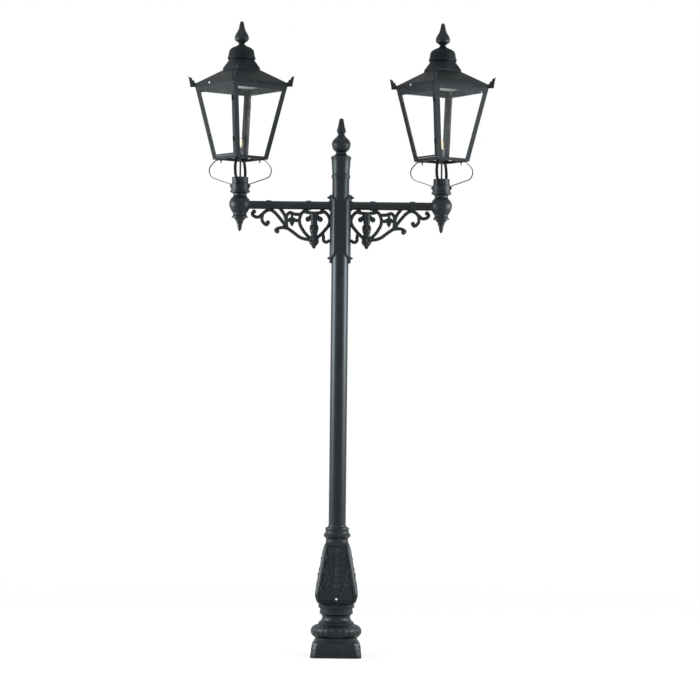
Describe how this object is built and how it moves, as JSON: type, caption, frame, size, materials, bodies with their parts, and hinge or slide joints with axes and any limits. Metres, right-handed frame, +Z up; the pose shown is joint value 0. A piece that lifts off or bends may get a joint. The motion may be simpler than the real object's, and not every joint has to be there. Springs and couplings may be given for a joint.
{
  "type": "double head lamp post",
  "caption": "Tall black Victorian-style street lamp post with a moulded base, two scrolled arms and two square tapered glass lanterns.",
  "frame": {"origin": "centre of the base's underside", "axes": "+X along the two arms, -Y is the front with the access door, +Z up"},
  "size_m": [1.9425, 0.6742, 3.9999],
  "materials": {
    "black_paint": "semi-gloss",
    "clear_glass": "clear",
    "white_enamel": "satin",
    "brass": "satin",
    "plated_steel": "satin",
    "bright_steel": "polished",
    "dark_plastic": "matte"
  },
  "bodies": {
    "post": {"access_door_pins": "plated_steel", "arm_clips": "black_paint", "base_bowl": "black_paint", "base_plinth": "black_paint", "bulb_caps": "brass", "bulbs": "clear_glass", "column_finial": "black_paint", "column_head": "black_paint", "column_tube": "black_paint", "conduit_pipes": "black_paint", "corner_drop_bolts": "black_paint", "door_hinge_pins": "plated_steel", "drop_finials": "black_paint", "fuse_unit": "dark_plastic", "lampholders": "dark_plastic", "left_arm": "black_paint", "left_bracket": "black_paint", "left_corner_posts": "black_paint", "left_fixed_glass": "clear_glass", "left_foot_rail": "black_paint", "left_head_rail": "black_paint", "left_saddle": "black_paint", "left_socket": "black_paint", "left_straps": "black_paint", "pedestal": "black_paint", "pedestal_collar": "black_paint", "right_arm": "black_paint", "right_bracket": "black_paint", "right_corner_posts": "black_paint", "right_fixed_glass": "clear_glass", "right_foot_rail": "black_paint", "right_head_rail": "black_paint", "right_saddle": "black_paint", "right_socket": "black_paint", "right_straps": "black_paint", "roof_hinge_pins": "plated_steel", "saddle_bolts": "black_paint", "strap_screws": "black_paint"},
    "access_door": {"access_door": "black_paint"},
    "access_door_lock": {"access_door_lock": "bright_steel"},
    "left_door": {"left_door_frame": "black_paint", "left_door_glass": "clear_glass"},
    "left_catch": {"left_door_catch": "black_paint"},
    "left_roof": {"left_roof": "black_paint", "left_roof_lining": "white_enamel", "left_roof_skirt": "black_paint", "left_vent_cap": "black_paint", "left_roof_spire": "black_paint", "left_roof_ears": "black_paint", "left_roof_knob": "bright_steel"},
    "right_door": {"right_door_frame": "black_paint", "right_door_glass": "clear_glass"},
    "right_catch": {"right_door_catch": "black_paint"},
    "right_roof": {"right_roof": "black_paint", "right_roof_lining": "white_enamel", "right_roof_skirt": "black_paint", "right_vent_cap": "black_paint", "right_roof_spire": "black_paint", "right_roof_ears": "black_paint", "right_roof_knob": "bright_steel"}
  },
  "joints": [
    {"name": "access_door_hinge", "type": "hinge", "parent": "post", "child": "access_door", "pos_m": [-0.09919, -0.1336, 0.41789], "axis": [-0.163, -0.1687, -0.9721], "range_deg": [0, 110]},
    {"name": "access_door_lock_turn", "type": "hinge", "parent": "access_door", "child": "access_door_lock", "pos_m": [0, -0.125, 0.367], "axis": [0, 1, 0], "range_deg": [0, 90]},
    {"name": "left_door_hinge", "type": "hinge", "parent": "post", "child": "left_door", "pos_m": [-0.67247, -0.18935, 3.21919], "axis": [-0.0284, -0.2496, 0.9679], "range_deg": [0, 110]},
    {"name": "left_door_catch_turn", "type": "hinge", "parent": "left_door", "child": "left_catch", "pos_m": [-0.83439, 0.00659, 3.27], "axis": [-0.7698, -0.6123, -0.1805], "range_deg": [0, 90]},
    {"name": "left_roof_hinge", "type": "hinge", "parent": "post", "child": "left_roof", "pos_m": [-0.46891, 0.13291, 3.5855], "axis": [-0.6225, 0.7826, 0], "range_deg": [0, 95]},
    {"name": "right_door_hinge", "type": "hinge", "parent": "post", "child": "right_door", "pos_m": [0.58479, -0.1859, 3.21919], "axis": [-0.0479, -0.2466, 0.9679], "range_deg": [0, 110]},
    {"name": "right_door_catch_turn", "type": "hinge", "parent": "right_door", "child": "right_catch", "pos_m": [0.43874, 0.02214, 3.27], "axis": [-0.8154, -0.55, -0.1805], "range_deg": [0, 90]},
    {"name": "right_roof_hinge", "type": "hinge", "parent": "post", "child": "right_roof", "pos_m": [0.813, 0.11939, 3.5855], "axis": [-0.5592, 0.829, 0], "range_deg": [0, 95]}
  ]
}
